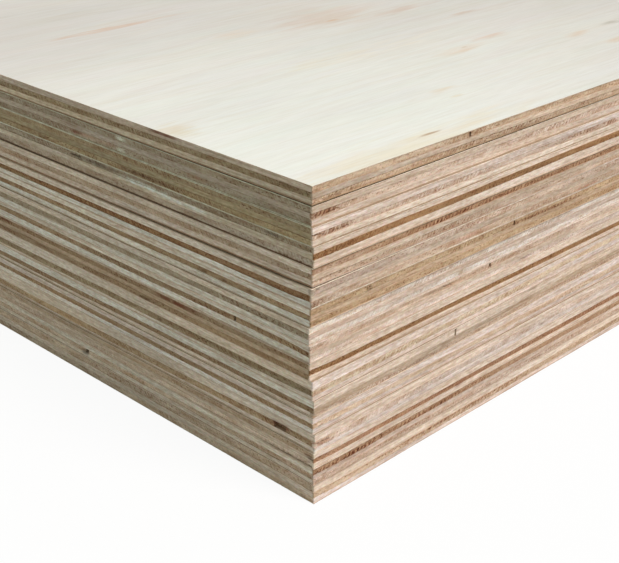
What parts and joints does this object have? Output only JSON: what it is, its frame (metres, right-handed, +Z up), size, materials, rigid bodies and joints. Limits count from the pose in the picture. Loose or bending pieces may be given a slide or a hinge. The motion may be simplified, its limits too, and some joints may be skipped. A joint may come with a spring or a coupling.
{
  "type": "stack of plywood sheets",
  "caption": "Flat stack of full-size plywood sheets, long edges aligned, with the glued veneers of every sheet showing as bands along the sawn edges.",
  "frame": {"origin": "middle of the stack's outline at the level of the floor it rests on", "axes": "+X along the long edges of the sheets, +Y along the short edges, +Z up, the faces of the sheets level"},
  "size_m": [2.4444, 1.2294, 0.1556],
  "materials": {
    "plywood": "matte"
  },
  "bodies": {
    "root": {"sheet_01": "plywood", "sheet_02": "plywood", "sheet_03": "plywood", "sheet_04": "plywood", "sheet_05": "plywood", "sheet_06": "plywood", "sheet_07": "plywood", "sheet_08": "plywood", "sheet_09": "plywood", "sheet_10": "plywood", "sheet_11": "plywood", "sheet_12": "plywood", "sheet_13": "plywood", "sheet_14": "plywood", "sheet_15": "plywood", "sheet_16": "plywood", "sheet_17": "plywood"}
  },
  "joints": []
}
